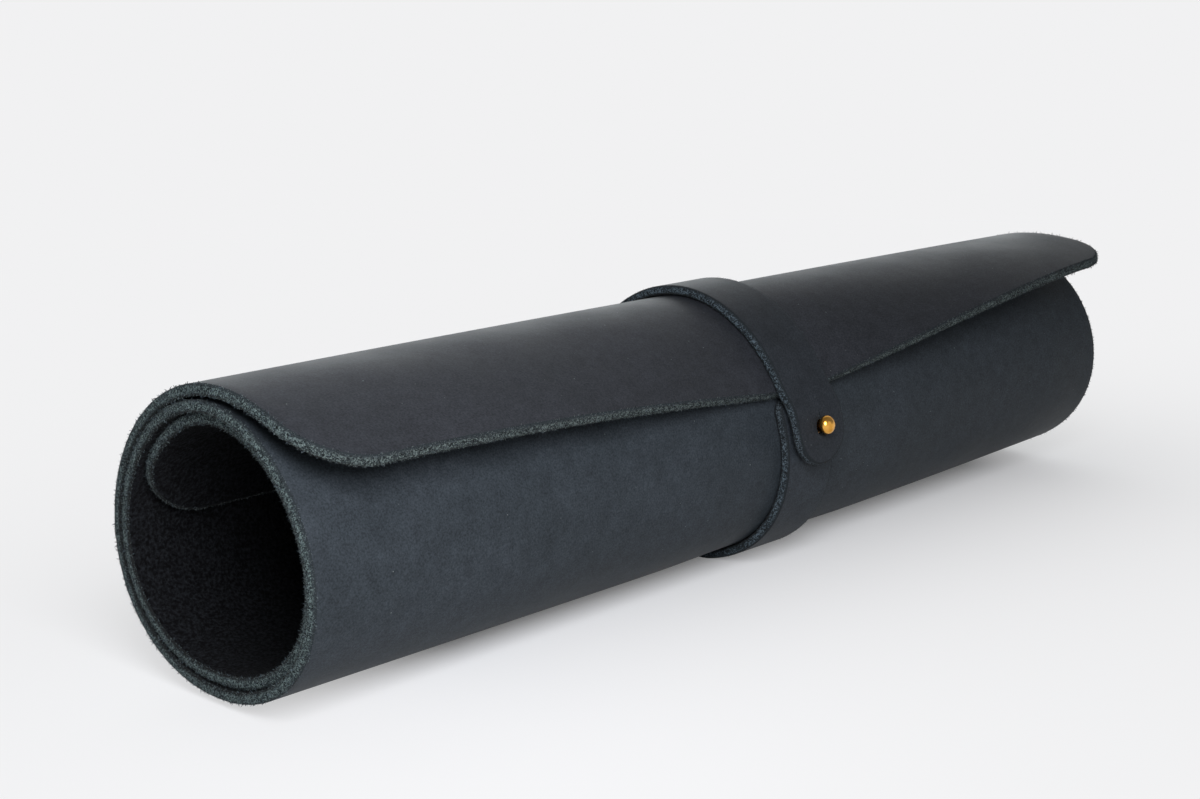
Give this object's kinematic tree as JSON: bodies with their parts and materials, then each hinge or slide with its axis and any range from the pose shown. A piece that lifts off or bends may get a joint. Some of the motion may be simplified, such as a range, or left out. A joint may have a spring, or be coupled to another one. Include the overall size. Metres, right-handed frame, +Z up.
{
  "type": "desk pad",
  "caption": "Leather desk pad rolled up for carrying, its free edge springing open beside a leather strap whose tab buttons over a round brass stud and lifts off it.",
  "frame": {"origin": "on the strap's flat underside, straight below the roll's axis, at the middle of the pad's width", "axes": "+X along the roll towards the end where the flap stands open widest, -Y to the front, where the stud is, +Z up from the table"},
  "size_m": [0.4024, 0.1031, 0.0919],
  "materials": {
    "pad_leather": "matt waxed full-grain leather with raw cut edges, dark slate",
    "strap_leather": "matt waxed full-grain leather with raw cut edges, charcoal",
    "brass": "turned and polished"
  },
  "bodies": {
    "roll": {"desk_pad": "pad_leather", "strap_band": "strap_leather", "button_stud": "brass", "stud_screw": "brass"},
    "tab": {"strap_tab": "strap_leather"}
  },
  "joints": [
    {"name": "tab_lift", "type": "hinge", "parent": "roll", "child": "tab", "pos_m": [0.006, -0.04312, 0.06415], "axis": [-1, 0, 0], "range_deg": [0, 100]}
  ]
}
